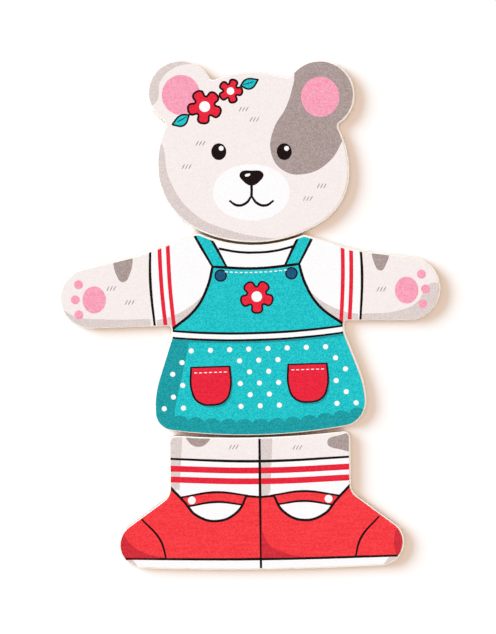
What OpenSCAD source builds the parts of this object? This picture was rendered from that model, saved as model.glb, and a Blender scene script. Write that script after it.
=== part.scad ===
// Wooden dress-up puzzle: a figure in three loose boards, laid face up on a table.
// Each board is three plies glued together, with a printed sheet on top.
// +X is to the viewer's right, +Y towards the head and +Z up from the table.

/* [Boards] */
// Thickness of the front ply and of the back ply
face_ply_t = 1.2; // [0.6:0.1:2]
// Thickness of the core ply between them
core_ply_t = 1.6; // [0.8:0.1:3]
// Gap between two boards that are laid together
board_gap = 0.85; // [0.4:0.05:3]

/* [Print] */
// Thickness of the printed sheet
print_t = 0.12; // [0.08:0.02:0.4]
// Bare wood left round the print
print_margin = 0.45; // [0.45:0.05:0.8]
// How far right of the head's cut its print landed
head_print_x = -0.2; // [-0.3:0.01:0.3]
// How far above the head's cut its print landed
head_print_y = 0.1; // [-0.3:0.01:0.3]
// How far right of the torso's cut its print landed
torso_print_x = -0.15; // [-0.3:0.01:0.3]
// How far above the torso's cut its print landed
torso_print_y = -0.2; // [-0.3:0.01:0.3]
// How far right of the legs' cut their print landed
legs_print_x = -0.1; // [-0.3:0.01:0.3]
// How far above the legs' cut their print landed
legs_print_y = 0; // [-0.3:0.01:0.3]

/* [Head] */
// Height from the chin to the crown
head_h = 56.7; // [53:0.1:62]
// Radius of the chin
chin_r = 43; // [38:0.5:56]
// Radius of a temple, between cheek and ear
temple_r = 32; // [29:0.5:45]
// Radius of the crown
crown_r = 34.3; // [30:0.1:50]
// Radius of the hollow where an ear meets the head
ear_root_r = 1.5; // [0.8:0.1:3]
// How far right of the legs' middle the head lies
head_x = -2.8; // [-6:0.1:6]

/* [Left cheek and ear] */
// Distance from the head's middle to the outside of the left cheek
left_cheek_w = 31.8; // [29:0.1:34]
// Radius of the left cheek
left_cheek_r = 24; // [20:0.5:28]
// Distance from the head's middle to the centre of the left ear
left_ear_x = 24; // [21:0.1:26]
// Height of the left ear's centre above the chin
left_ear_h = 49.7; // [46:0.1:54]
// Radius of the left ear
left_ear_r = 10.9; // [8:0.1:14]

/* [Right cheek and ear] */
// Distance from the head's middle to the outside of the right cheek
right_cheek_w = 32.1; // [29:0.1:34]
// Radius of the right cheek
right_cheek_r = 20; // [18:0.5:28]
// Distance from the head's middle to the centre of the right ear
right_ear_x = 22.4; // [21:0.1:26]
// Height of the right ear's centre above the chin
right_ear_h = 49.1; // [46:0.1:54]
// Radius of the right ear
right_ear_r = 11.5; // [8:0.1:14]

/* [Torso] */
// Height from the hem to the neck hollow
neck_h = 63.35; // [60:0.05:66]
// Radius of a shoulder, the corner between the neck hollow and a sleeve
shoulder_r = 2; // [1:0.1:4]
// Radius of a sleeve's bend
sleeve_bend_r = 10; // [4:0.5:20]
// Height of the hands' centres above the hem
hand_h = 47.4; // [45:0.1:50]
// Width of the torso at the waist
waist_w = 57.6; // [50:0.2:60]
// How far right of the hem's middle the waist's middle lies
waist_x = -0.1; // [-1:0.1:1]
// Height of the waist, where the skirt starts to flare, above the hem
waist_h = 34.3; // [31:0.1:35]
// Radius of the bend at the waist
waist_r = 4; // [2:0.5:8]
// Height of the armpits above the waist
armpit_rise = 3; // [2:0.1:5]
// Radius of an armpit
armpit_r = 1.2; // [0.6:0.1:2.5]
// Width of the skirt at its fullest
skirt_w = 70.6; // [66:0.2:78]
// Height of the skirt's fullest part above the hem
skirt_full_h = 9.8; // [8:0.2:13]
// Radius of the skirt's sides as they curve in towards the hem
skirt_side_r = 32; // [20:1:34]
// Radius of the skirt's lower left corner
left_skirt_corner_r = 6.5; // [3:0.5:9]
// Radius of the skirt's lower right corner
right_skirt_corner_r = 8.5; // [3:0.5:9]
// Radius of the hem's curve
hem_r = 190; // [120:1:240]
// How far right of the legs' middle the hem's middle lies
torso_x = 0.1; // [-3:0.1:3]
// Turn of the torso as it lies, in degrees
torso_turn = 1.8; // [-3:0.1:3]

/* [Left arm] */
// Angle round the chin from the middle of the neck hollow to the left shoulder
left_neck_angle = 25.4; // [18:0.2:28]
// Distance from the torso's middle to the centre of the left hand
left_reach = 55.5; // [54:0.1:64]
// Radius of the left hand
left_hand_r = 10.2; // [8:0.1:11]
// Distance from the left hand's top along the sleeve to its bend
left_bend_run = 18.5; // [10:0.5:28]
// How far the left sleeve dips at its bend below a straight line from hand to shoulder
left_sleeve_dip = 1.1; // [0.4:0.1:3]

/* [Right arm] */
// Angle round the chin from the middle of the neck hollow to the right shoulder
right_neck_angle = 20.2; // [16:0.2:26]
// Distance from the torso's middle to the centre of the right hand
right_reach = 50.4; // [49:0.1:60]
// Radius of the right hand
right_hand_r = 10.7; // [8:0.1:11]
// Distance from the right hand's top along the sleeve to its bend
right_bend_run = 20.8; // [10:0.2:26]
// How far the right sleeve dips at its bend below a straight line from hand to shoulder
right_sleeve_dip = 1.5; // [0.4:0.1:3]

/* [Legs] */
// Height from the sole to the lowest point of the top edge
legs_h = 44.05; // [40:0.05:48]
// Width across both legs
legs_w = 60.4; // [54:0.2:66]
// Radius of the top edge's hollow curve, flatter than the hem
legs_top_r = 300; // [245:5:400]
// How far right of the legs' middle the lowest point of the top edge lies
legs_top_x = -4.5; // [-8:0.5:8]
// Radius of the top corners
legs_corner_r = 2.2; // [1:0.1:4]
// Height of the bend between the left ankle and its shoe above the sole
left_ankle_h = 27.4; // [25:0.2:32]
// Height of the bend between the right ankle and its shoe above the sole
right_ankle_h = 28.2; // [25:0.2:32]
// Radius of the bend between an ankle and its shoe
ankle_r = 5; // [3:0.5:7]
// Distance from the legs' middle to the left toe
left_foot_l = 47.2; // [44:0.1:51]
// Distance from the legs' middle to the right toe
right_foot_l = 47.7; // [44:0.1:51]
// Radius of a toe
toe_r = 7.8; // [6:0.1:9]
// Radius of the sole's slight curve
sole_r = 900; // [400:10:1200]
// Turn of the legs as they lie, in degrees
legs_turn = 0.7; // [-3:0.1:3]

/* [Hidden] */

// Heights at which the layers above the back ply start
core_z = face_ply_t;
front_z = core_z + core_ply_t;
print_z = front_z + face_ply_t;

// Farthest that a chord may stray from the arc it stands for
arc_tol = 0.01;
// Room left between neighbouring pegs, so that a straight run always joins them
peg_slack = 0.01;

// An outline is a belt pulled tight round pegs, taken anticlockwise. A peg is [x, y, r]:
// the belt passes outside a peg with r above 0 and bends inward round one with r below 0.

// An angle brought into one full turn, where a trace below 0 stays a trace
function one_turn(a) = a - 360 * floor((a + 0.5) / 360);

// Direction, from a peg's centre, of the point where the straight run to the next peg leaves it
function leaving_angle(peg, next) =
    let (across = [next.x - peg.x, next.y - peg.y])
    atan2(across.y, across.x) - acos((peg.z - next.z) / norm(across));

// Points where the belt lies on one peg
function peg_arc(peg, from, to) =
    let (
        sweep = peg.z < 0 ? -one_turn(from - to) : one_turn(to - from),
        chord_angle = 2 * acos(1 - arc_tol / max(abs(peg.z), arc_tol)),
        steps = max(1, ceil(abs(sweep) / chord_angle))
    )
    [for (i = [0:steps])
        let (a = from + sweep * i / steps)
        [peg.x, peg.y] + peg.z * [cos(a), sin(a)]];

// The whole outline
function belt(pegs) =
    let (
        n = len(pegs),
        leaving = [for (i = [0:n - 1]) leaving_angle(pegs[i], pegs[(i + 1) % n])]
    )
    [for (i = [0:n - 1]) each peg_arc(pegs[i], leaving[(i + n - 1) % n], leaving[i])];

// Pegs of the same outline drawn in by a margin and shifted
function drawn_in(pegs, margin, shift) =
    [for (p = pegs) [p.x + shift.x, p.y + shift.y, p.z - margin]];

// A run of pegs mirrored to the left side, in the order that keeps the belt anticlockwise
function mirrored(pegs) =
    [for (i = [len(pegs) - 1:-1:0]) [-pegs[i].x, pegs[i].y, pegs[i].z]];

// A point turned about the origin
function turned(p, angle) =
    [p.x * cos(angle) - p.y * sin(angle), p.x * sin(angle) + p.y * cos(angle)];

// Pegs of a board turned and moved to where it lies
function laid(pegs, at, angle) =
    [for (p = pegs)
        let (q = turned(p, angle) + at)
        [q.x, q.y, p.z]];

// A point of the whole figure as seen from a board that lies turned
function seen_from(p, at, angle) = turned(p - at, -angle);

// Height of the point at x that lies a given distance below a centre
function height_under(centre, distance, x) =
    centre.y - sqrt(pow(distance, 2) - pow(x - centre.x, 2));

// Point at given distances from two centres, to the left of the line between them or to its right
function meeting(c1, d1, c2, d2, left) =
    let (
        across = c2 - c1,
        span = norm(across),
        u = across / span,
        along = (pow(span, 2) + pow(d1, 2) - pow(d2, 2)) / (2 * span),
        aside = sqrt(pow(d1, 2) - pow(along, 2))
    )
    c1 + along * u + (left ? aside : -aside) * [-u.y, u.x];

// Where the boards lie, from the middle of the sole
legs_at = [0, 0];
torso_at = [torso_x, legs_h + board_gap];
head_at = [head_x, torso_at.y + neck_h + board_gap];

// Head, from the middle of the chin
chin_c = [0, chin_r];
crown_c = [0, head_h - crown_r];

// Peg that hollows the corner between an ear and a round part of the head
function ear_root(ear, centre, r, left) =
    let (
        reach = ear_root_r + peg_slack,
        c = meeting(centre, r + reach, [ear.x, ear.y], ear.z + reach, left)
    )
    [c.x, c.y, -ear_root_r];

// One side of the head, from the cheek up to the crown
function head_side_pegs(cheek_w, cheek_r, ear) =
    let (
        cheek_x = cheek_w - cheek_r,
        cheek_y = height_under(chin_c, chin_r - cheek_r + peg_slack, cheek_x),
        temple_c = [cheek_w - temple_r, cheek_y + peg_slack]
    )
    [
        [cheek_x, cheek_y, cheek_r],
        [temple_c.x, temple_c.y, temple_r],
        ear_root(ear, temple_c, temple_r, false),
        ear,
        ear_root(ear, crown_c, crown_r, true)
    ];

head_pegs = laid(
    concat(
        [[chin_c.x, chin_c.y, chin_r]],
        head_side_pegs(right_cheek_w, right_cheek_r, [right_ear_x, right_ear_h, right_ear_r]),
        [[crown_c.x, crown_c.y, crown_r]],
        mirrored(head_side_pegs(left_cheek_w, left_cheek_r, [left_ear_x, left_ear_h, left_ear_r]))
    ),
    head_at, 0
);

// Torso, from the middle of the hem
hem_c = [0, hem_r];
neck_r = chin_r + board_gap;
neck_c = seen_from(head_at + chin_c, torso_at, torso_turn);

// Radius of the skirt's sides, less where a wide flare leaves less room below the waist's bend
skirt_flare = (skirt_w - waist_w) / 2 + abs(waist_x);
skirt_drop = waist_h - skirt_full_h;
skirt_side_room = (pow(skirt_flare, 2) + pow(skirt_drop, 2)) / (2 * skirt_flare) - waist_r - peg_slack;
skirt_r = min(skirt_side_r, skirt_side_room);
skirt_side_c = [skirt_w / 2 - skirt_r, skirt_full_h];

// Lower corner of the skirt, where a side runs into the hem
function skirt_corner(r) =
    let (c = meeting(skirt_side_c, skirt_r - r + peg_slack, hem_c, hem_r - r + peg_slack, false))
    [c.x, c.y, r];

// Shoulder that closes the neck hollow at an angle from its middle, on a torso's right side
function shoulder(side, neck_angle) =
    let (
        reach = neck_r + shoulder_r + peg_slack,
        c = [side * neck_c.x, neck_c.y] + reach * [sin(neck_angle), -cos(neck_angle)]
    )
    [c.x, c.y, shoulder_r];

// Peg that bends a sleeve's top edge inward, below the straight run from the hand to the shoulder
function sleeve_bend(hand, shoulder, run, dip) =
    let (
        a = leaving_angle(hand, shoulder),
        outward = [cos(a), sin(a)],
        along = [-sin(a), cos(a)],
        c = [hand.x, hand.y] + run * along + (hand.z + sleeve_bend_r - dip) * outward
    )
    [c.x, c.y, -sleeve_bend_r];

// One side of the torso, from the skirt's corner up to the shoulder
function side_pegs(side, corner_r, neck_angle, reach, hand_r, bend_run, dip) =
    let (
        waist_out = waist_w / 2 + side * waist_x,
        hand = [reach, hand_h, hand_r],
        top = shoulder(side, neck_angle)
    )
    [
        skirt_corner(corner_r),
        [skirt_side_c.x, skirt_side_c.y, skirt_r],
        [waist_out + waist_r, waist_h, -waist_r],
        [waist_out + armpit_r, waist_h + armpit_rise - armpit_r, -armpit_r],
        hand,
        sleeve_bend(hand, top, bend_run, dip),
        top
    ];

torso_pegs = laid(
    concat(
        [[hem_c.x, hem_c.y, hem_r]],
        side_pegs(
            1, right_skirt_corner_r, right_neck_angle, right_reach,
            right_hand_r, right_bend_run, right_sleeve_dip
        ),
        [[neck_c.x, neck_c.y, -neck_r]],
        mirrored(side_pegs(
            -1, left_skirt_corner_r, left_neck_angle, left_reach,
            left_hand_r, left_bend_run, left_sleeve_dip
        ))
    ),
    torso_at, torso_turn
);

// Legs, from the middle of the sole
sole_c = [0, sole_r];
legs_corner_x = legs_w / 2 - legs_corner_r;
legs_top_c = [legs_top_x, legs_h + legs_top_r];

// One shoe, from the toe up to the ankle
function shoe_pegs(foot_l, ankle_h) =
    let (toe_x = foot_l - toe_r)
    [
        [toe_x, height_under(sole_c, sole_r - toe_r + peg_slack, toe_x), toe_r],
        [legs_w / 2 + ankle_r, ankle_h, -ankle_r]
    ];

// Top corner of a leg, just below the curve of the top edge
function legs_corner(x) =
    [x, height_under(legs_top_c, legs_top_r + legs_corner_r + peg_slack, x), legs_corner_r];

legs_pegs = laid(
    concat(
        [[sole_c.x, sole_c.y, sole_r]],
        shoe_pegs(right_foot_l, right_ankle_h),
        [
            legs_corner(legs_corner_x),
            [legs_top_c.x, legs_top_c.y, -legs_top_r],
            legs_corner(-legs_corner_x)
        ],
        mirrored(shoe_pegs(left_foot_l, left_ankle_h))
    ),
    legs_at, legs_turn
);

head_outline = belt(head_pegs);
torso_outline = belt(torso_pegs);
legs_outline = belt(legs_pegs);

head_print_outline = belt(drawn_in(head_pegs, print_margin, [head_print_x, head_print_y]));
torso_print_outline = belt(drawn_in(torso_pegs, print_margin, [torso_print_x, torso_print_y]));
legs_print_outline = belt(drawn_in(legs_pegs, print_margin, [legs_print_x, legs_print_y]));

// Middle of the whole figure, which becomes the origin
figure = concat(head_outline, torso_outline, legs_outline);
xs = [for (p = figure) p.x];
ys = [for (p = figure) p.y];
middle = [(min(xs) + max(xs)) / 2, (min(ys) + max(ys)) / 2];

// A flat layer of one outline
module layer(outline, z, t) {
    translate([-middle.x, -middle.y, z])
        linear_extrude(t)
            polygon(outline);
}

module head_back_ply() {
    color("burlywood") layer(head_outline, 0, face_ply_t);
}

module head_core_ply() {
    color("tan") layer(head_outline, core_z, core_ply_t);
}

module head_front_ply() {
    color("burlywood") layer(head_outline, front_z, face_ply_t);
}

module head_print() {
    color("#f8f2ef") layer(head_print_outline, print_z, print_t);
}

module torso_back_ply() {
    color("burlywood") layer(torso_outline, 0, face_ply_t);
}

module torso_core_ply() {
    color("tan") layer(torso_outline, core_z, core_ply_t);
}

module torso_front_ply() {
    color("burlywood") layer(torso_outline, front_z, face_ply_t);
}

module torso_print() {
    color("#27c6ca") layer(torso_print_outline, print_z, print_t);
}

module legs_back_ply() {
    color("burlywood") layer(legs_outline, 0, face_ply_t);
}

module legs_core_ply() {
    color("tan") layer(legs_outline, core_z, core_ply_t);
}

module legs_front_ply() {
    color("burlywood") layer(legs_outline, front_z, face_ply_t);
}

module legs_print() {
    color("#fb4046") layer(legs_print_outline, print_z, print_t);
}

head_back_ply();
head_core_ply();
head_front_ply();
head_print();
torso_back_ply();
torso_core_ply();
torso_front_ply();
torso_print();
legs_back_ply();
legs_core_ply();
legs_front_ply();
legs_print();
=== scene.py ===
# %% [markdown]
# # A wooden dress-up puzzle
# Three flat boards lie in a row on a white table: a head, a dress and a pair of legs. Each board is
# three-ply birch with a printed sheet glued on its front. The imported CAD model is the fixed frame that
# everything here fits. Its plies get eased edges and wood grain, and its sheets get their colours one
# ink at a time, as a screen printer lays them, so that each ink is a thin film of its own.

# %% Load the frame
import math

import bmesh
import bpy
from mathutils import Matrix, Vector


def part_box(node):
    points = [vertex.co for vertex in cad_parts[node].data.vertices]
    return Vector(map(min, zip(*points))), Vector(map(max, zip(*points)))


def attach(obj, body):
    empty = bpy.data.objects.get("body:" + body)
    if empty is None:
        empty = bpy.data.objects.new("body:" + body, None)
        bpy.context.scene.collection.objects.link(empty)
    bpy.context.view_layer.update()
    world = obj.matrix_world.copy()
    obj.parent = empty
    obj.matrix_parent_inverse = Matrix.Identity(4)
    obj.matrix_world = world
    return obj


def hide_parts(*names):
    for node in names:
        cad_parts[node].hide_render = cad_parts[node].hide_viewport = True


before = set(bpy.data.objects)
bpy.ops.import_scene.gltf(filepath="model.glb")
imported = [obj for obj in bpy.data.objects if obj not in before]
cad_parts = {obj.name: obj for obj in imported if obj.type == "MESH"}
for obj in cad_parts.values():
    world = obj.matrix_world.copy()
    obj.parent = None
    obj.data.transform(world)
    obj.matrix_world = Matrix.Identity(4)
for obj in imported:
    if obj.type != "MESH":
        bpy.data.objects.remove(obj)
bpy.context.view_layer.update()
MM = 0.001
BOARDS = ("head", "torso", "legs")

# %% [markdown]
# ## Colours and shader nodes
# Paint charts and screens give colours as sRGB hex values, but a shader mixes light, which is linear.
# One function turns the first into the second. Another adds a shader node, sets it and links it, so
# that a material below reads as a short list of what its surface does. A Mix node has sockets for every
# kind of data under the same few names, so those for colours and for plain values go by number.


# %% Helpers for materials
def linear(hex_colour):
    """An sRGB hex value such as "29c6cd" as the linear colour that Blender mixes."""
    channels = [int(hex_colour[i:i + 2], 16) / 255 for i in (0, 2, 4)]
    return [c / 12.92 if c <= 0.04045 else ((c + 0.055) / 1.055) ** 2.4 for c in channels] + [1.0]


def add_node(tree, kind, inputs, **settings):
    """Adds a node; each input is a plain value, or the output socket of another node."""
    added = tree.nodes.new(kind)
    for name, value in settings.items():
        setattr(added, name, value)
    for socket, value in inputs.items():
        if isinstance(value, bpy.types.NodeSocket):
            tree.links.new(value, added.inputs[socket])
        else:
            added.inputs[socket].default_value = value
    return added


def new_material(name, roughness, ior):
    """A material with even gloss: itself, its node tree, its shader and the piece's own coordinates."""
    material = bpy.data.materials.new(name)
    material.use_nodes = True
    tree = material.node_tree
    shader = tree.nodes["Principled BSDF"]
    shader.inputs["Roughness"].default_value = roughness
    shader.inputs["IOR"].default_value = ior
    place = add_node(tree, "ShaderNodeTexCoord", {}).outputs["Object"]
    return material, tree, shader, place


def per_mm(size):
    """The texture scale at which a pattern repeats about every so many millimetres."""
    return 1 / (size * MM)


MIX_FACTOR, MIX_A, MIX_B, MIX_RESULT = 0, 6, 7, 2
MIX_VALUE_A, MIX_VALUE_B = 2, 3
print("one millimetre of grain is a texture scale of", per_mm(1))

# %% [markdown]
# ## Birch plywood
# The boards are cut from thin birch ply: a veneer on each face with its grain across the figure, and a
# thicker core with its grain the other way. Planed birch is cream with faint long streaks and short
# brown pores. The front is sanded and primed for the print, which pales it, and the back stays bare and
# warmer. A photo of wood could be wrapped round each board, but noise that is stretched along the grain
# needs no file and keeps its real size, in millimetres, on every ply.

# %% Birch materials
STREAK_WIDE, STREAK_LONG = 1.1, 38
PORE_WIDE, PORE_LONG, PORE_DEEP = 0.35, 3.6, 0.05
WOOD_IOR = 1.5


def birch(name, pale, streak, pore, along):
    """Planed birch in three hex tones; along is the share of a pattern's length that x, y and z get."""
    wood, tree, surface, place = new_material(name, roughness=0.62, ior=WOOD_IOR)
    streak_size = [per_mm(STREAK_WIDE + STREAK_LONG * share) for share in along]
    pore_size = [per_mm(PORE_WIDE + PORE_LONG * share) for share in along]
    streak_map = add_node(tree, "ShaderNodeMapping", {"Vector": place, "Scale": streak_size})
    pore_map = add_node(tree, "ShaderNodeMapping", {"Vector": place, "Scale": pore_size})
    streaks = add_node(tree, "ShaderNodeTexNoise",
                       {"Vector": streak_map.outputs[0], "Scale": 1.0, "Detail": 4.0, "Distortion": 0.4})
    pores = add_node(tree, "ShaderNodeTexNoise",
                     {"Vector": pore_map.outputs[0], "Scale": 1.0, "Detail": 2.0})
    streak_share = add_node(tree, "ShaderNodeMapRange",
                            {"Value": streaks.outputs[0], "From Min": 0.35, "From Max": 0.72})
    pore_share = add_node(tree, "ShaderNodeMapRange",
                          {"Value": pores.outputs[0], "From Min": 0.62, "From Max": 0.74, "To Max": 0.55})
    grain = add_node(tree, "ShaderNodeMix",
                     {MIX_FACTOR: streak_share.outputs[0], MIX_A: linear(pale), MIX_B: linear(streak)},
                     data_type="RGBA")
    colour = add_node(tree, "ShaderNodeMix",
                      {MIX_FACTOR: pore_share.outputs[0], MIX_A: grain.outputs[MIX_RESULT],
                       MIX_B: linear(pore)}, data_type="RGBA")
    relief = add_node(tree, "ShaderNodeBump", {"Height": pore_share.outputs[0], "Strength": 0.35,
                                               "Distance": PORE_DEEP * MM}, invert=True)
    tree.links.new(colour.outputs[MIX_RESULT], surface.inputs["Base Color"])
    tree.links.new(relief.outputs[0], surface.inputs["Normal"])
    return wood


front_birch = birch("primed_birch_veneer", "fffcf5", "fef0df", "e0c09a", along=(1.0, 0.0, 0.05))
back_birch = birch("bare_birch_veneer", "f4e3c6", "e8d0a8", "b98e5e", along=(1.0, 0.0, 0.05))
core_birch = birch("birch_core", "e8cda4", "d2ab78", "a07848", along=(0.0, 1.0, 0.05))
print("wood:", front_birch.name, core_birch.name, back_birch.name)

# %% [markdown]
# ## Scorched edges
# Ply this thin is cut by a laser, which toasts the edge to a matt brown and leaves fine upright streaks
# where the beam pulsed. The core's end grain scorches darker than the face plies, and each glue line
# burns almost black. From above, the edges show only down in the gaps between the boards, which look
# dark for it. All the boards are one kind of ply, so a glue line is drawn wherever an edge is at its
# height, and needs no faces of its own.

# %% Scorched edge materials
GLUE_LINES = [corner[2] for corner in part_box("torso_core_ply")]
GLUE_HALF, GLUE_BURNT = 0.06, "24140a"
PULSE_WIDE, PULSE_TALL, PULSE_DEEP = 0.5, 5, 0.05


def scorched(name, light, dark):
    """A laser-cut edge that drifts between two hex browns in upright streaks half a millimetre apart."""
    edge, tree, surface, place = new_material(name, roughness=0.75, ior=WOOD_IOR)
    pulse_size = (per_mm(PULSE_WIDE), per_mm(PULSE_WIDE), per_mm(PULSE_TALL))
    upright = add_node(tree, "ShaderNodeMapping", {"Vector": place, "Scale": pulse_size})
    streaks = add_node(tree, "ShaderNodeTexNoise",
                       {"Vector": upright.outputs[0], "Scale": 1.0, "Detail": 3.0})
    share = add_node(tree, "ShaderNodeMapRange",
                     {"Value": streaks.outputs[0], "From Min": 0.36, "From Max": 0.64})
    colour = add_node(tree, "ShaderNodeMix",
                      {MIX_FACTOR: share.outputs[0], MIX_A: linear(light), MIX_B: linear(dark)},
                      data_type="RGBA")
    height = add_node(tree, "ShaderNodeSeparateXYZ", {"Vector": place}).outputs["Z"]
    for glue_line in GLUE_LINES:
        near = add_node(tree, "ShaderNodeMath", {0: height, 1: glue_line, 2: GLUE_HALF * MM},
                        operation="COMPARE")
        colour = add_node(tree, "ShaderNodeMix",
                          {MIX_FACTOR: near.outputs[0], MIX_A: colour.outputs[MIX_RESULT],
                           MIX_B: linear(GLUE_BURNT)}, data_type="RGBA")
    relief = add_node(tree, "ShaderNodeBump",
                      {"Height": share.outputs[0], "Strength": 0.3, "Distance": PULSE_DEEP * MM})
    tree.links.new(colour.outputs[MIX_RESULT], surface.inputs["Base Color"])
    tree.links.new(relief.outputs[0], surface.inputs["Normal"])
    return edge


face_edge = scorched("scorched_birch_veneer", "a3733f", "744a28")
core_edge = scorched("scorched_birch_core", "744a28", "4a2d18")
print("edges:", face_edge.name, core_edge.name)

# %% [markdown]
# ## The plies
# Each board is a sandwich of three plies. The CAD solids already have the outlines, but their edges
# are knife sharp, and a sanded board's never are. A copy of each solid is merged into one skin, because
# a CAD mesh is loose triangles, and the outer rims of the face plies get a small bevel. The faces that
# stand upright then take the scorched finish.

# %% Helpers for finished pieces
MERGE_WITHIN = 0.002 * MM
FLAT_WITHIN = math.radians(0.5)
SMOOTH_BELOW = math.radians(30)


def merged_copy(node):
    """A bmesh of a CAD solid with its loose triangles joined and its flat faces made whole."""
    skin = bmesh.new()
    skin.from_mesh(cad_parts[node].data)
    bmesh.ops.remove_doubles(skin, verts=skin.verts, dist=MERGE_WITHIN)
    bmesh.ops.dissolve_limit(skin, angle_limit=FLAT_WITHIN, verts=skin.verts, edges=skin.edges)
    return skin


def in_scene(name, data):
    """A new object at the origin that shows some mesh, curve, lamp or camera."""
    added = bpy.data.objects.new(name, data)
    bpy.context.scene.collection.objects.link(added)
    return added


def finished_piece(name, skin, materials, body, slot, *nodes):
    """Turns a bmesh into an object that rides on a body and stands for CAD nodes."""
    mesh = bpy.data.meshes.new(name)
    skin.to_mesh(mesh)
    skin.free()
    mesh.polygons.foreach_set("use_smooth", [True] * len(mesh.polygons))
    mesh.set_sharp_from_angle(angle=SMOOTH_BELOW)
    for material in materials:
        mesh.materials.append(material)
    piece = in_scene(name, mesh)
    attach(piece, body)
    if nodes:
        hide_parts(*nodes)
    return piece


sample = merged_copy("head_core_ply")
print("the head's core merges to a skin of", len(sample.faces), "faces")
sample.free()

# %% Eased plies
EASE = 0.06 * MM
SAME_HEIGHT = 0.01 * MM
UPRIGHT_BELOW = 0.3
LOWER, UPPER = 0, 1
OUTER_RIM = {"back": LOWER, "core": None, "front": UPPER}
FINISHES = {"front": (front_birch, face_edge), "core": (core_birch, core_edge),
            "back": (back_birch, face_edge)}


def ease_rim(skin, height):
    """Rounds off all the edges of a ply that lie at one height, as a pass of sandpaper does."""
    rim = [edge for edge in skin.edges if all(abs(v.co.z - height) < SAME_HEIGHT for v in edge.verts)]
    bmesh.ops.bevel(skin, geom=rim, offset=EASE, offset_type="OFFSET", affect="EDGES",
                    segments=2, profile=0.5, material=-1)


for board in BOARDS:
    for ply, outer in OUTER_RIM.items():
        node = f"{board}_{ply}_ply"
        skin = merged_copy(node)
        if outer is not None:
            ease_rim(skin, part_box(node)[outer][2])
        skin.normal_update()
        for face in skin.faces:
            face.material_index = 1 if abs(face.normal.z) < UPRIGHT_BELOW else 0
        slot = "core_ply" if ply == "core" else "face_ply"
        piece = finished_piece(f"{board}_{ply}_wood", skin, FINISHES[ply], board, slot, node)
        print(piece.name, len(piece.data.polygons), "faces")

# %% [markdown]
# ## The printed sheets
# The picture is printed on a coated white sheet that is glued to the board. Coated paper is satin, a
# little warm, and the wood's grain shows through it as very faint streaks across the figure. The press
# leaves a fine speckle in every solid colour, so paper and inks share one recipe: a colour that drifts
# between a darker and a lighter tone. The speckle is drawn a third of a millimetre across, coarser than
# a press leaves it, because it would be too fine to show.

# %% Paper and ink material
SPECKLE, SPECKLE_DEEP = 0.36, 0.03
GRAIN_SIZE = (9, 0.7, 1)
PRINT_IOR, PRINT_GLEAM = 1.48, 0.06


def printed(name, dark, light, roughness, grain_share=0.12):
    """A printed tone that speckles between two hex colours, with faint streaks along the grain."""
    ink, tree, surface, place = new_material(name, roughness, PRINT_IOR)
    surface.inputs["Specular IOR Level"].default_value = PRINT_GLEAM
    speckle = add_node(tree, "ShaderNodeTexNoise",
                       {"Vector": place, "Scale": per_mm(SPECKLE), "Detail": 2.0})
    stretched = add_node(tree, "ShaderNodeMapping",
                         {"Vector": place, "Scale": [per_mm(size) for size in GRAIN_SIZE]})
    streaks = add_node(tree, "ShaderNodeTexNoise",
                       {"Vector": stretched.outputs[0], "Scale": 1.0, "Detail": 3.0})
    tone = add_node(tree, "ShaderNodeMix", {MIX_FACTOR: grain_share, MIX_VALUE_A: speckle.outputs[0],
                                            MIX_VALUE_B: streaks.outputs[0]})
    share = add_node(tree, "ShaderNodeMapRange",
                     {"Value": tone.outputs[0], "From Min": 0.4, "From Max": 0.6})
    colour = add_node(tree, "ShaderNodeMix",
                      {MIX_FACTOR: share.outputs[0], MIX_A: linear(dark), MIX_B: linear(light)},
                      data_type="RGBA")
    relief = add_node(tree, "ShaderNodeBump",
                      {"Height": speckle.outputs[0], "Strength": 0.12, "Distance": SPECKLE_DEEP * MM})
    tree.links.new(colour.outputs[MIX_RESULT], surface.inputs["Base Color"])
    tree.links.new(relief.outputs[0], surface.inputs["Normal"])
    return ink


paper = printed("coated_print_paper", "f5e9e7", "fbf3f1", roughness=0.5)
for board in BOARDS:
    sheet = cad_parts[f"{board}_print"]
    sheet.data.materials.clear()
    sheet.data.materials.append(paper)
    print(sheet.name, "on", paper.name)

# %% [markdown]
# ## A drawing kit
# A printer's artwork is outlines and pen lines. Blender's curves are the same thing: a closed flat
# curve fills to an area, and an open one with a round bevel is a pen line whose point radius is the
# pressure of the pen. Each is made a mesh while it is still flat and in millimetres, on its board's own
# drawing axes, and only then is it turned, cut to the sheet's edge and laid down as a film.

# %% Smooth curves
CURVE_STEPS = 10
SEAM = 0.0005


def drawn(points, closed, corners=(), pressure=None):
    """A smooth curve through points in millimetres; corners lists the points that stay sharp."""
    curve = bpy.data.curves.new("drawn", "CURVE")
    curve.dimensions = "2D"
    curve.resolution_u = CURVE_STEPS
    spline = curve.splines.new("BEZIER")
    spline.bezier_points.add(len(points) - 1)
    spline.use_cyclic_u = closed
    for i, (knot, (x, y)) in enumerate(zip(spline.bezier_points, points)):
        knot.co = (x, y, 0)
        knot.handle_left_type = "VECTOR" if i in corners else "AUTO"
        knot.handle_right_type = "VECTOR" if i in corners else "AUTO"
        knot.radius = pressure[i] if pressure else 1.0
    return curve


def shape_of(curve):
    """The closed mesh of a curve as a bmesh, its seams merged and its faces outward."""
    helper = in_scene("helper", curve)
    depsgraph = bpy.context.evaluated_depsgraph_get()
    mesh = bpy.data.meshes.new_from_object(helper.evaluated_get(depsgraph))
    bpy.data.objects.remove(helper)
    bpy.data.curves.remove(curve)
    skin = bmesh.new()
    skin.from_mesh(mesh)
    bpy.data.meshes.remove(mesh)
    bmesh.ops.remove_doubles(skin, verts=skin.verts, dist=SEAM)
    bmesh.ops.recalc_face_normals(skin, faces=skin.faces)
    return skin


print("a curve takes", CURVE_STEPS, "steps from point to point")

# %% Areas and pen lines
SLAB_HALF = 0.5
EVEN_TIPS = (1, 1)
SIDES = (-1, 1)


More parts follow.
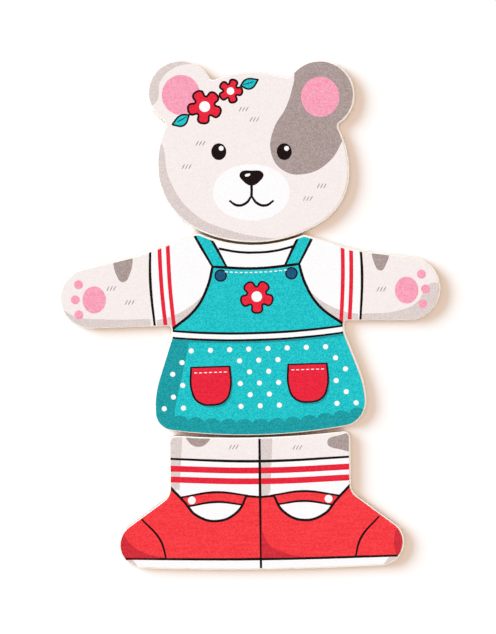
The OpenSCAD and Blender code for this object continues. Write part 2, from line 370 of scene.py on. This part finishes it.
def area(points, corners=()):
    """A filled area with a closed outline."""
    curve = drawn(points, True, corners)
    curve.fill_mode = "BOTH"
    curve.extrude = SLAB_HALF
    return shape_of(curve)


def oval(x, y, wide, high=None, turn=0.0):
    """A filled circle or ellipse by its half-widths, turned by some degrees."""
    high = high or wide
    c, s = math.cos(math.radians(turn)), math.sin(math.radians(turn))
    knots = [(wide, 0), (0, high), (-wide, 0), (0, -high)]
    return area([(x + a * c - b * s, y + a * s + b * c) for a, b in knots])


def pen(points, width=0.95, corners=(), tips=(0.75, 0.75), closed=False):
    """A pen line of some width that thins towards its two tips."""
    pressure = [1.0] * len(points)
    if not closed:
        pressure[0], pressure[-1] = tips
    curve = drawn(points, closed, corners, pressure)
    curve.dimensions = "3D"
    curve.fill_mode = "FULL"
    curve.bevel_depth = width / 2
    curve.bevel_resolution = 1
    curve.use_fill_caps = True
    return shape_of(curve)


def mirrored(points):
    """The same points on the other side of the drawing's middle line."""
    return [(-x, y) for x, y in points]


sample = oval(0, 0, 2)
print("kit ready: an oval of 2 mm has", len(sample.faces), "faces")
sample.free()

# %% [markdown]
# ## Laying an ink
# A screen printer pulls one colour over the whole sheet, lets it dry, and pulls the next on top of it.
# The same order keeps the films here from fighting: each ink stands on the paper and is five
# thousandths of a millimetre higher than the last, so a later colour covers an earlier one. A prism of
# the sheet's outline trims every film, so a colour that runs off the edge stops exactly where the paper
# does. One painted image could hold it all, but films are real shapes that move with their board.

# %% Sheet outlines and drawing axes
PAPER_LOW, PAPER_TOP = (corner[2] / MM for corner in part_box("torso_print"))
PRISM_HALF = 4
# How far a drawing's middle line lies beside the middle of its board in mm, and its turn in degrees.
DRAWN_AT = {"head": (0.0, 0.0), "torso": (3.6, 1.8), "legs": (-0.25, 0.7)}
CUT_LINE = {}
DRAWING_AXES = {}
for board, (beside, turn) in DRAWN_AT.items():
    skin = merged_copy(f"{board}_print")
    skin.transform(Matrix.Diagonal((1 / MM, 1 / MM, 1 / MM, 1)))
    for vert in skin.verts:
        vert.co.z = PRISM_HALF if vert.co.z > (PAPER_LOW + PAPER_TOP) / 2 else -PRISM_HALF
    mesh = bpy.data.meshes.new(f"{board}_cut_line")
    skin.to_mesh(mesh)
    skin.free()
    CUT_LINE[board] = in_scene(mesh.name, mesh)
    low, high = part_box(f"{board}_front_ply")
    across = (low[0] + high[0]) / 2 / MM + beside
    DRAWING_AXES[board] = (Matrix.Translation((across, low[1] / MM, 0))
                           @ Matrix.Rotation(math.radians(turn), 4, "Z"))
    print(board, "is drawn from", [round(v, 2) for v in DRAWING_AXES[board].translation[:2]], "mm")

# %% Ink films
FILM = 0.005
MIDDLE_WITHIN = 0.01


def trim(mesh, cutter):
    """What of a mesh lies inside a cutter, by a boolean."""
    helper = in_scene("helper", mesh)
    boolean = helper.modifiers.new("trim", "BOOLEAN")
    boolean.operation = "INTERSECT"
    boolean.solver = "EXACT"
    boolean.use_self = True
    boolean.object = cutter
    depsgraph = bpy.context.evaluated_depsgraph_get()
    trimmed = bpy.data.meshes.new_from_object(helper.evaluated_get(depsgraph))
    bpy.data.objects.remove(helper)
    return trimmed


def lay_ink(board, ink, pull, shapes):
    """Joins the shapes of one colour, trims them to the sheet and stands them on it as a film."""
    mesh = bpy.data.meshes.new("film")
    film = bmesh.new()
    for shape in shapes:
        shape.to_mesh(mesh)
        shape.free()
        film.from_mesh(mesh)
    film.transform(DRAWING_AXES[board])
    film.to_mesh(mesh)
    film.free()
    trimmed = trim(mesh, CUT_LINE[board])
    bpy.data.meshes.remove(mesh)
    film = bmesh.new()
    film.from_mesh(trimmed)
    bpy.data.meshes.remove(trimmed)
    # What lies low, in the middle or high in a shape goes to the film's foot, half height or top.
    for vert in film.verts:
        share = 0.5 if abs(vert.co.z) < MIDDLE_WITHIN else float(vert.co.z > 0)
        vert.co.z = PAPER_TOP + share * pull * FILM
    film.transform(Matrix.Diagonal((MM, MM, MM, 1)))
    piece = finished_piece(f"{board}_{ink.name}_{pull}", film, [ink], board, f"{board}_print")
    print(piece.name, len(piece.data.polygons), "faces")


print("ten pulls of ink stand", round(10 * FILM, 3), "mm above the paper")

# %% [markdown]
# ## The inks
# Screen inks are opaque and dry to a thin satin film: the eye sees flat, full colour with hardly a
# gleam. The pale inks are the flattest and black is the smoothest. The reds are thinner than the rest
# and let more of the grain through. Each colour has a lighter and a darker tone, and a few have a deep
# twin as well, for the shades that make a flat drawing look round.

# %% The inks
PALE_ROUGH, FULL_ROUGH, BLACK_ROUGH = 0.5, 0.48, 0.45
THIN_INK = 0.25
white_ink = printed("white_ink", "fcf9fa", "ffffff", PALE_ROUGH)
shade_ink = printed("soft_shade_ink", "d6c7c3", "e6dad6", PALE_ROUGH)
grey_ink = printed("warm_grey_ink", "9f8d89", "b8a7a3", PALE_ROUGH)
pink_ink = printed("pink_ink", "f492ae", "ffb0c6", PALE_ROUGH)
teal_ink = printed("teal_ink", "02b5bc", "2ad1d6", FULL_ROUGH)
deep_teal_ink = printed("deep_teal_ink", "088e96", "20aab1", FULL_ROUGH)
red_ink = printed("red_ink", "f02e37", "ff464c", FULL_ROUGH, THIN_INK)
deep_red_ink = printed("deep_red_ink", "c82030", "dc3441", FULL_ROUGH, THIN_INK)
crimson_ink = printed("crimson_ink", "e21c34", "f42b43", FULL_ROUGH, THIN_INK)
blue_ink = printed("blue_ink", "0f4b6d", "1f6087", FULL_ROUGH)
black_ink = printed("black_ink", "120706", "22100e", BLACK_ROUGH)
print("inks on the press:", [m.name for m in bpy.data.materials if m.name.endswith("_ink")])

# %% [markdown]
# ## The head's print
# A plain toy bear's face, as on any nursery block: two dot eyes, an oval muzzle with a button nose and
# a stitched mouth, pink inside the ears and a grey patch over one eye. Two red flowers sit by an ear.
# It is drawn from the middle of the chin, with the ears' centres about 23 mm out and 49 mm up. The
# areas come first and run past the board's edge where they meet it, so that the trim leaves no gap.

# %% Flowers and fur marks
PETALS = 5
PETAL_REACH = (0.6, 0.93, 1.0, 0.93)
TICK_LONG, TICK_WIDE, TICK_PITCH = 1.7, 0.34, 1.1
TICK_LEAN = math.radians(60)


def flower(x, y, reach, turn):
    """The outline of a round-petalled flower: its tips at some reach, its notches three fifths as far."""
    knots = []
    steps = PETALS * len(PETAL_REACH)
    for i in range(steps):
        angle = math.radians(turn) + math.tau * i / steps
        out = reach * PETAL_REACH[i % len(PETAL_REACH)]
        knots.append((x + out * math.cos(angle), y + out * math.sin(angle)))
    return knots


def ticks(*places):
    """Three short leaning strokes at each place, as an illustrator marks fur."""
    run, rise = TICK_LONG * math.cos(TICK_LEAN) / 2, TICK_LONG * math.sin(TICK_LEAN) / 2
    strokes = []
    for x, y in places:
        for across in (x - TICK_PITCH, x, x + TICK_PITCH):
            stroke = [(across - run, y - rise), (across, y), (across + run, y + rise)]
            strokes.append(pen(stroke, TICK_WIDE))
    return strokes


print("a flower is drawn through", len(flower(0, 0, 1, 0)), "points")

# %% Head areas
EARS, EAR_PINK_DROP = ((-23.5, 49.7), (22.9, 49.1)), 0.6
BIG_FLOWER_AT, SMALL_FLOWER_AT = (-15.6, 45.2), (-7.0, 50.4)
head_patch = [(6.5, 30), (7.5, 38), (11.5, 45), (14, 53), (16, 64), (36, 64), (37, 44), (31.5, 36),
              (26, 27), (18, 22.8), (10.5, 24)]
cheek_shade = [(-33.5, 37), (-30, 33), (-27.6, 21.6), (-19.4, 9.8), (-6, 3.6), (13, 0.6), (0, -4),
               (-40, -4)]
ear_shade = [(-38, 43), (-31.6, 47), (-30.4, 53.6), (-25.6, 58.2), (-17, 59.6), (-20, 66), (-38, 66)]
big_flower = flower(*BIG_FLOWER_AT, reach=5.6, turn=12)
small_flower = flower(*SMALL_FLOWER_AT, reach=3.9, turn=34)
leaves = [[(-20.8, 42.4), (-23.6, 42.2), (-26.4, 39.2), (-22.6, 39.0)],
          [(-3.6, 52.2), (-1.8, 54.2), (2.2, 54.2), (-0.4, 51.2)]]
lay_ink("head", shade_ink, 1, [area(cheek_shade, (0, 5, 6, 7)), area(ear_shade, (0, 4, 5, 6))])
lay_ink("head", grey_ink, 2, [area(head_patch)]
        + ticks((-17, 33), (-21.6, 25.2), (1, 41), (-2.6, 44.4), (18.8, 14.6), (23.4, 18.8)))
lay_ink("head", pink_ink, 3, [oval(x, y - EAR_PINK_DROP, wide=6.4, high=6.7) for x, y in EARS])
muzzle = oval(0, 16.6, wide=12.8, high=9.4)
lay_ink("head", white_ink, 4, [muzzle])
lay_ink("head", crimson_ink, 5, [area(big_flower), area(small_flower)])
lay_ink("head", teal_ink, 6, [area(leaf, corners=(0, 2)) for leaf in leaves])

# %% Head lines
EYE_OUT, EYE_UP = 10.9, 30.2
FLOWER_LINE = 0.75
eyes = [oval(side * EYE_OUT, EYE_UP, wide=2.5, high=2.8) for side in SIDES]
nose = area([(-3.9, 22.9), (0, 23.9), (3.9, 22.9), (2.6, 20.2), (0, 18.9), (-2.6, 20.2)])
smile = [(0, 15.4), (1.9, 13.0), (4.8, 12.3), (7.4, 13.9)]
lip = [(0, 19.2), (0.05, 17.4), (0, 15.2)]
face_lines = [pen(lip, tips=EVEN_TIPS), pen(smile), pen(mirrored(smile))]
flower_lines = [pen(edge, FLOWER_LINE, closed=True) for edge in (big_flower, small_flower)]
leaf_lines = [pen(leaf, width=0.7, corners=(0, 2), closed=True) for leaf in leaves]
veins = [pen([(-21.6, 41.8), (-23.4, 40.8), (-24.8, 40.0)], width=0.5),
         pen([(-2.8, 52.6), (-1, 53.0), (0.7, 53.6)], width=0.5)]
lay_ink("head", black_ink, 7, eyes + [nose] + face_lines + flower_lines + leaf_lines + veins)
glints = [oval(side * EYE_OUT + 0.8, EYE_UP + 1.1, wide=0.8) for side in SIDES]
nose_glint = oval(-1.3, 22.4, wide=0.9, high=0.45, turn=15)
centres = [oval(*BIG_FLOWER_AT, wide=1.8), oval(*SMALL_FLOWER_AT, wide=1.25)]
lay_ink("head", white_ink, 8, glints + [nose_glint] + centres)

# %% [markdown]
# ## The torso's print
# A teal bib dress over a white blouse: straps with two buttons, a flower on the bib, a white band at
# the waist, two patch pockets and a scalloped hem. The sleeves end in red stripes, and each paw has
# pink pads. It is drawn from the middle of the hem, and the whole board is turned 1.8 degrees.

# %% Blouse and arms
blouse = [(10, 72), (34.8, 72), (35.8, 52), (34.2, 30), (20, 30), (0, 40), (-20, 30), (-34.2, 30),
          (-35.8, 52), (-34.8, 72), (-10, 72)]
lay_ink("torso", white_ink, 1, [area(blouse, corners=(0, 1, 3, 4, 5, 6, 7, 9, 10))])
arm_shade = [(34.4, 39.4), (46, 39.9), (53, 42.4), (58.6, 49), (66, 44), (60, 30), (34.4, 30)]
far_arm_shade = [(-66, 44.6), (-60.4, 41.4), (-51, 40.2), (-35.6, 39.8), (-35.6, 30), (-66, 30)]
sleeve_shade = [(17, 48), (22.6, 43.4), (29, 40.4), (33.6, 39.4), (33.6, 30), (10, 30)]
other_shades = (far_arm_shade, sleeve_shade, mirrored(sleeve_shade))
lay_ink("torso", shade_ink, 2,
        [area(arm_shade, (0, 4, 5, 6))] + [area(shade, (0, 3, 4, 5)) for shade in other_shades])
arm_marks = [[(38.6, 64), (39.4, 56.4), (41.4, 53.6), (43.6, 56.0), (45.4, 64)],
             [(-47.6, 64), (-46.6, 55.0), (-44.4, 52.4), (-42.0, 55.2), (-40.8, 66)]]
lay_ink("torso", grey_ink, 3, [area(mark, (0, 4)) for mark in arm_marks]
        + ticks((41.6, 47.4), (-42.4, 45.6), (-48.4, 50.4)))

# %% Pads and cuffs
PALM_UP = 46.8
PALM_OUT = {-1: 54.2, 1: 50.0}
TOE_OUT, TOE_CURL, TOE_RISES = 6.3, 0.045, (5.2, 0.2, -4.8)
CUFF_STRIPES = (32.0, 29.2)
pads = []
for side, palm in PALM_OUT.items():
    pads.append(oval(side * palm, PALM_UP, wide=3.9, high=4.5))
    for rise in TOE_RISES:
        toe = palm + TOE_OUT - TOE_CURL * rise * rise
        pads.append(oval(side * toe, PALM_UP + rise, wide=1.5))
lay_ink("torso", pink_ink, 4, pads)
cuffs = []
for side in SIDES:
    for out in CUFF_STRIPES:
        stripe = [(side * out, 67), (side * (out - 0.4), 50), (side * (out - 1.6), 34)]
        cuffs.append(pen(stripe, width=1.3, tips=EVEN_TIPS))
lay_ink("torso", crimson_ink, 4, cuffs)

# %% [markdown]
# ## The dress
# The dress is one area of teal with its straps. A deeper teal then gives it form: a broad shade down
# the skirt's left side, a scalloped hem, and a thin shade below the band and the pockets, which makes
# them look sewn on. A pocket's shade is its own outline, moved right and down, and the band's is a line
# along its lower edge. Both are printed first, so that the piece covers all but the sliver that shows.

# %% Dress
dress = [(-14.4, 56.6), (0, 55.6), (14.4, 56.6), (16.2, 50.2), (20.4, 42.8), (28.4, 36.2), (34, 33),
         (46, 28), (46, -8), (-46, -8), (-46, 28), (-34, 33), (-28.4, 36.2), (-20.4, 42.8), (-16.2, 50.2)]
strap = [(9.4, 55.4), (14.4, 56.4), (21.6, 70), (16.2, 70)]
lay_ink("torso", teal_ink, 5, [area(dress, corners=(0, 2, 6, 7, 8, 9, 10, 11)), area(strap, range(4)),
                               area(mirrored(strap), range(4))])

# %% Shades of the dress
POCKET = [(-6.4, 5.8), (6.4, 5.8), (6.4, -1.6), (4.5, -5.5), (0, -6.8), (-4.5, -5.5), (-6.4, -1.6)]
POCKET_OUT, POCKET_UP = 16.2, 17.4
BAND_WIDE = 2.2
SHADE_RIGHT, SHADE_DOWN = 0.6, 0.9
HEM_PITCH, HEM_UP, HEM_CURL = 5.4, 3.2, 0.0026
SCALLOP_WIDE, SCALLOP_HIGH = HEM_PITCH * 0.53, 2.3
pockets = [[(x + side * POCKET_OUT, y + POCKET_UP) for x, y in POCKET] for side in SIDES]
band_top = [(-36, 36.4), (-18, 34.6), (0, 34.0), (18, 34.6), (36, 36.4)]
pocket_shades = []
for pocket in pockets:
    moved = [(x + SHADE_RIGHT, y - SHADE_DOWN) for x, y in pocket]
    pocket_shades.append(area(moved, (0, 1)))
band_low = [(x, y - BAND_WIDE - SHADE_DOWN / 2) for x, y in band_top]
band_shade = pen(band_low, 2 * SHADE_DOWN, tips=EVEN_TIPS)
dress_shade = [(-28.4, 34.4), (-22.6, 34.4), (-23.4, 30), (-26.4, 18), (-28.6, 8), (-29, -6), (-42, -6),
               (-42, 30)]
scallops = []
for i in range(-7, 8):
    x = i * HEM_PITCH
    scallops.append(oval(x, HEM_UP + HEM_CURL * x ** 2, SCALLOP_WIDE, SCALLOP_HIGH))
hem = [(-42, 6.6), (-20, 3.8), (0, 2.8), (20, 3.8), (42, 6.6), (42, -8), (-42, -8)]
broad_shades = [area(dress_shade, (0, 1, 5, 6, 7)), area(hem, (0, 4, 5, 6))]
lay_ink("torso", deep_teal_ink, 6, broad_shades + [band_shade] + pocket_shades + scallops)

# %% Dress trim
DOT, DOT_PITCH, DOT_RISE, DOT_LOWEST, DOT_ROWS = 0.85, 6.4, 3.8, 9.8, 6
SKIRT_HALF, SKIRT_TAPER = 34.5, 0.24
POCKET_CLEAR_OUT, POCKET_CLEAR_UP = 8.2, 8.4
BIB_FLOWER_AT = (0, 46.2)
BUTTONS, BUTTON = ((-11.8, 53.6), (11.8, 53.6)), 1.8
band = band_top + [(x, y - BAND_WIDE) for x, y in reversed(band_top)]
dots = []
for row in range(DOT_ROWS):
    y = DOT_LOWEST + row * DOT_RISE
    for i in range(-5, 6):
        x = (i + 0.5 * (row % 2)) * DOT_PITCH
        beside_pocket = abs(abs(x) - POCKET_OUT) >= POCKET_CLEAR_OUT
        clear_of_pocket = beside_pocket or abs(y - POCKET_UP) >= POCKET_CLEAR_UP
        if clear_of_pocket and abs(x) < SKIRT_HALF - SKIRT_TAPER * y:
            dots.append(oval(x, y, DOT))
lay_ink("torso", white_ink, 7, [area(band, (0, 4, 5, 9))] + dots)
bib_flower = flower(*BIB_FLOWER_AT, reach=5.4, turn=18)
lay_ink("torso", crimson_ink, 8, [area(pocket, (0, 1)) for pocket in pockets] + [area(bib_flower)])
lay_ink("torso", blue_ink, 8, [oval(x, y, BUTTON) for x, y in BUTTONS])

# %% Torso lines
outline = [pen(dress[12:] + dress[:6], corners=(3, 5), tips=EVEN_TIPS)]
neckline = [(-12.2, 62.6), (-6, 61.3), (0.4, 60.9), (6.8, 61.3), (12.8, 62.6)]
outline.append(pen(neckline, width=0.8, tips=EVEN_TIPS))
strap_and_sleeve = [[(9.6, 56.0), (12.9, 62.6), (17, 70)], [(14.4, 56.6), (18, 63.2), (21.6, 70)],
                    [(34.9, 66), (35.3, 52), (34.0, 34)]]
for side in SIDES:
    for line in strap_and_sleeve:
        outline.append(pen([(side * x, y) for x, y in line]))
for x, y in BUTTONS:
    ring = [(x + BUTTON, y), (x, y + BUTTON), (x - BUTTON, y), (x, y - BUTTON)]
    outline.append(pen(ring, width=0.65, closed=True))
for drop in (0, BAND_WIDE):
    outline.append(pen([(x, y - drop) for x, y in band_top]))
outline += [pen(pocket, width=0.85, corners=(0, 1), closed=True) for pocket in pockets]
outline.append(pen(bib_flower, FLOWER_LINE, closed=True))
lay_ink("torso", black_ink, 9, outline)

# %% Stitches
STITCH_PITCH, STITCH_HALF = 1.65, 0.5
POCKET_SEAM_UP = 21.4
BIB_SEAM_UP, BIB_SEAM_CURL = 54.3, 0.0045


def stitch(x, y, width):
    """One short level stitch of white thread."""
    return pen([(x - STITCH_HALF, y), (x, y), (x + STITCH_HALF, y)], width, tips=(0.8, 0.8))


stitches = []
for side in SIDES:
    for i in range(-3, 4):
        stitches.append(stitch(side * POCKET_OUT + i * STITCH_PITCH, POCKET_SEAM_UP, width=0.45))
for i in range(-6, 7):
    x = i * STITCH_PITCH
    stitches.append(stitch(x, BIB_SEAM_UP + BIB_SEAM_CURL * x ** 2, width=0.4))
lay_ink("torso", white_ink, 10, [oval(*BIB_FLOWER_AT, wide=1.75)] + stitches)

# %% [markdown]
# ## The legs' print
# Pale legs in white socks with red stripes, and red strap shoes on white soles, with a line between
# the two legs. It is drawn from the middle of the soles, and the board is turned 0.7 degrees. The two
# shoes mirror each other, so one is drawn and its points are turned over for the other.

# %% Socks and soles
SOLE_UP = 3.6
SOCK_STRIPES = (33.1, 29.5)
sock = [(-36, 37.6), (0, 36.2), (36, 37.6), (36, 2), (-36, 2)]
sole = [(-56, SOLE_UP + 0.8), (0, SOLE_UP), (56, SOLE_UP + 0.8), (56, -4), (-56, -4)]
lay_ink("legs", white_ink, 1, [area(sock, (0, 2, 3, 4)), area(sole, (0, 2, 3, 4))])
leg_shade = [[(-34, 46), (-25.6, 46), (-26.2, 37.2), (-26.8, 27), (-34, 26)],
             [(0.2, 46), (4.4, 46), (4.0, 37.2), (3.4, 26), (0.2, 22)]]
sole_end = [(38.4, -3), (40.6, 0.8), (43.6, 5), (56, 5), (56, -3)]
lay_ink("legs", shade_ink, 2, [area(strip, (0, 1, 3, 4)) for strip in leg_shade]
        + [area(sole_end, (0, 2, 3, 4)), area(mirrored(sole_end), (0, 2, 3, 4))])
leg_marks = [area([(-25, 48), (-24, 43.4), (-20.4, 41.2), (-16.8, 43.2), (-15.4, 48)]),
             area([(36, 45), (27, 44.6), (22.6, 42.2), (27, 39.8), (36, 39.8)])]
lay_ink("legs", grey_ink, 3, leg_marks + ticks((12.6, 40.6), (-8.6, 41.0)))
stripes = []
for y in SOCK_STRIPES:
    stripes.append(pen([(-34, y + 1.1), (0, y), (34, y + 1.1)], width=2.0, tips=EVEN_TIPS))
lay_ink("legs", crimson_ink, 4, stripes)

# %% Shoes
shoe = [(0.2, 24.2), (4.6, 24.6), (7.4, 19.6), (14.2, 16.4), (21.4, 18.4), (25.4, 23.0), (29.4, 27.2),
        (36, 28), (56, 16), (56, SOLE_UP + 0.6), (24, SOLE_UP), (0.2, SOLE_UP)]
shoe_corners = (0, 7, 8, 9, 11)
strap_over = [(4.2, 24.8), (14.6, 26.0), (26.6, 24.4), (24.2, 21.4), (14.6, 22.8), (6.0, 21.8)]
lay_ink("legs", red_ink, 4, [area(shoe, shoe_corners), area(mirrored(shoe), shoe_corners),
                             area(strap_over, (0, 2, 3, 5)), area(mirrored(strap_over), (0, 2, 3, 5))])
toe_shade = [(-46.5, 14.5), (-43.8, 9.5), (-39, 6.2), (-28, SOLE_UP + 0.3), (-60, SOLE_UP), (-60, 14.5)]
heel_shade = [(0.2, 13.6), (2.6, 8.6), (8, 5.6), (17, SOLE_UP), (0.2, SOLE_UP)]
far_toe_shade = [(46.8, 15.5), (44.9, 12), (44.4, 8), (45.4, SOLE_UP + 0.4), (60, SOLE_UP), (60, 15.5)]
lay_ink("legs", deep_red_ink, 5, [area(toe_shade, (0, 3, 4, 5)), area(heel_shade, (0, 3, 4)),
                                  area(far_toe_shade, (0, 3, 4, 5))])

# %% Legs lines
lines = [pen([(0, 50), (0, 22), (0, -3)])]
lines.append(pen([(-34, 37.5), (0, 36.2), (34, 37.5)]))
lines.append(pen([(-54, SOLE_UP + 0.75), (0, SOLE_UP), (54, SOLE_UP + 0.75)]))
opening = [(0, 24.2)] + shoe[1:7] + [(33, 31)]
toe_seam = [(31.5, SOLE_UP + 0.3), (33.4, 10.2), (39.6, 17.4)]
for side in SIDES:
    lines.append(pen([(side * x, y) for x, y in opening], corners=(1,)))
    lines.append(pen([(side * x, y) for x, y in strap_over[:3]], width=0.85))
    lines.append(pen([(side * x, y) for x, y in strap_over[3:]], width=0.85))
    lines.append(pen([(side * x, y) for x, y in toe_seam], width=0.9))
lay_ink("legs", black_ink, 6, lines)
studs = [oval(side * 22.8, 23.4, wide=1.3) for side in SIDES]
lay_ink("legs", white_ink, 7, studs)

# %% Clear the press
for cutter in CUT_LINE.values():
    bpy.data.objects.remove(cutter)
print("cut lines removed:", ", ".join(CUT_LINE))

# %% [markdown]
# ## The white table
# The puzzle lies on a matt white table that shows as plain white, with soft warm shadows. In the narrow
# gaps between the boards, hardly any light reaches it, and what does has bounced off scorched edges, so
# it looks dark brown there. That shade is painted: the ambient occlusion node measures how open each
# spot is, and a colour ramp paints the table's colour from dark brown in the deepest gap to open white.
# Beside a board, a real room also throws some warm light back into the shadow. A weak glow stands for it,
# on the rays that the eye follows.

# %% White table
TABLE_HALF = 4.0


def seen_rays(tree):
    """One for the rays that the eye follows, straight or off gloss and glass, and zero for the rest."""
    rays = add_node(tree, "ShaderNodeLightPath", {}).outputs
    direct = add_node(tree, "ShaderNodeMath", {0: rays["Is Camera Ray"], 1: rays["Is Glossy Ray"]},
                      operation="MAXIMUM")
    seen = add_node(tree, "ShaderNodeMath", {0: direct.outputs[0], 1: rays["Is Transmission Ray"]},
                    operation="MAXIMUM")
    return seen.outputs[0]


table_mesh = bpy.data.meshes.new("white_table")
skin = bmesh.new()
bmesh.ops.create_grid(skin, x_segments=1, y_segments=1, size=TABLE_HALF)
skin.to_mesh(table_mesh)
skin.free()
table = in_scene("white_table", table_mesh)
print("table:", table.name, "of", 2 * TABLE_HALF, "m")

# %% Table finish
GAP_REACH = 4 * MM
# Painted shade: the table's colour at each openness, dark brown deep in a gap and white in the open.
GAP_PAINTED_SHADE = ((0.175, "4e240c"), (0.215, "855636"), (0.255, "f2ccb4"), (0.42, "fafafa"))
GAP_DEEP, GAP_CLEAR = GAP_PAINTED_SHADE[0][0], 0.26
# The glow's red, green and blue close to a wall and in the open, as shares of full white light.
GLOW_BY_WALL, GLOW_IN_OPEN = (0.30, 0.23, 0.19, 1.0), (0.10, 0.075, 0.065, 1.0)
table_white = bpy.data.materials.new("matt_white_table")
table_white.use_nodes = True
tree = table_white.node_tree
tree.nodes.remove(tree.nodes["Principled BSDF"])
openness = add_node(tree, "ShaderNodeAmbientOcclusion", {"Distance": GAP_REACH}, samples=16).outputs["AO"]
# Painted shade: this ramp darkens the table's own colour where a narrow gap closes it in.
painted_gap_shade = add_node(tree, "ShaderNodeValToRGB", {"Fac": openness})
tones = painted_gap_shade.color_ramp.elements
tones.remove(tones[1])
for share, tone in GAP_PAINTED_SHADE:
    tones.new(share).color = linear(tone)
tones.remove(tones[0])
matt = add_node(tree, "ShaderNodeBsdfDiffuse", {"Color": painted_gap_shade.outputs[0]})
glow_colour = add_node(tree, "ShaderNodeMix",
                       {MIX_FACTOR: openness, MIX_A: GLOW_BY_WALL, MIX_B: GLOW_IN_OPEN}, data_type="RGBA")
glow_share = add_node(tree, "ShaderNodeMapRange",
                      {"Value": openness, "From Min": GAP_DEEP, "From Max": GAP_CLEAR})
glow = add_node(tree, "ShaderNodeEmission",
                {"Color": glow_colour.outputs[MIX_RESULT], "Strength": glow_share.outputs[0]})
lifted = add_node(tree, "ShaderNodeAddShader", {0: matt.outputs[0], 1: glow.outputs[0]})
top = add_node(tree, "ShaderNodeMixShader",
               {0: seen_rays(tree), 1: matt.outputs[0], 2: lifted.outputs[0]})
tree.links.new(top.outputs[0], tree.nodes["Material Output"].inputs["Surface"])
table_mesh.materials.append(table_white)
print("finish:", table_white.name, "with", len(tones), "tones")

# %% [markdown]
# ## Soft light
# A broad window on the upper left makes the shadows soft, and a warm room fills them. A wide sun lamp
# stands for the window. In red, green and blue, its share and the room's add up to one on a level face,
# so a colour renders as it is written. An even sky would shine in low from all sides and thin the
# shadow beside the boards, so the room's light is gathered overhead by a power of the height. A level
# face gets two parts in the power plus two of such light, and a gain makes up for that.

# %% Window light
SUN_UP, SUN_WIDE = math.radians(36), math.radians(36)
SUN_SIDE = Vector((-0.93, 0.37, 0.0))
SUN_FROM = SUN_SIDE * math.cos(SUN_UP) + Vector((0, 0, math.sin(SUN_UP)))
FILL = (0.65, 0.51, 0.41)
KEY = [1.0 - fill for fill in FILL]
sun = bpy.data.lights.new("window_light", "SUN")
sun.angle = SUN_WIDE
sun.energy = math.pi * max(KEY) / math.sin(SUN_UP)
sun.color = [k / max(KEY) for k in KEY]
sun_object = in_scene("window_light", sun)
sun_object.rotation_euler = SUN_FROM.to_track_quat("Z", "Y").to_euler()
print("sun strength", round(sun.energy, 3))

# %% Room light
GATHER = 12.0
world = bpy.data.worlds.new("warm_room")
world.use_nodes = True
tree = world.node_tree
room = tree.nodes["Background"]
room.inputs["Color"].default_value = (*FILL, 1.0)
direction = add_node(tree, "ShaderNodeTexCoord", {}).outputs["Generated"]
upward = add_node(tree, "ShaderNodeSeparateXYZ", {"Vector": direction}).outputs["Z"]
above = add_node(tree, "ShaderNodeMath", {0: upward, 1: 0.0}, operation="MAXIMUM")
gathered = add_node(tree, "ShaderNodeMath", {0: above.outputs[0], 1: GATHER}, operation="POWER")
overhead = add_node(tree, "ShaderNodeMath", {0: gathered.outputs[0], 1: (GATHER + 2) / 2},
                    operation="MULTIPLY")
tree.links.new(overhead.outputs[0], room.inputs["Strength"])
backdrop = add_node(tree, "ShaderNodeBackground", {"Color": linear("ffffff"), "Strength": 1.0})
sky = add_node(tree, "ShaderNodeMixShader",
               {0: seen_rays(tree), 1: room.outputs[0], 2: backdrop.outputs[0]})
tree.links.new(sky.outputs[0], tree.nodes["World Output"].inputs["Surface"])
bpy.context.scene.world = world
bpy.context.scene.view_settings.view_transform = "Standard"
print("room:", world.name, "with shares of red, green and blue", FILL)

# %% [markdown]
# ## Camera
# The photograph looks straight down. The camera hangs a metre up with a long lens, so the boards' walls
# hardly show. Three pixels of the picture are a millimetre at the paper's height, which sets the lens.
# The picture is taller than wide, so Blender's sensor width is measured along its height.

# %% Camera straight above
PICTURE_HIGH, PIXELS_PER_MM = 634, 3
CAMERA_AT, CAMERA_UP = (-0.77, -0.63), 1000.0
camera = bpy.data.cameras.new("overhead_camera")
camera.sensor_width = 36
camera.lens = camera.sensor_width * (CAMERA_UP - PAPER_TOP) / (PICTURE_HIGH / PIXELS_PER_MM)
camera_object = in_scene("overhead_camera", camera)
camera_object.location = [v * MM for v in (*CAMERA_AT, CAMERA_UP)]
bpy.context.scene.camera = camera_object
print("lens", round(camera.lens, 1), "mm")
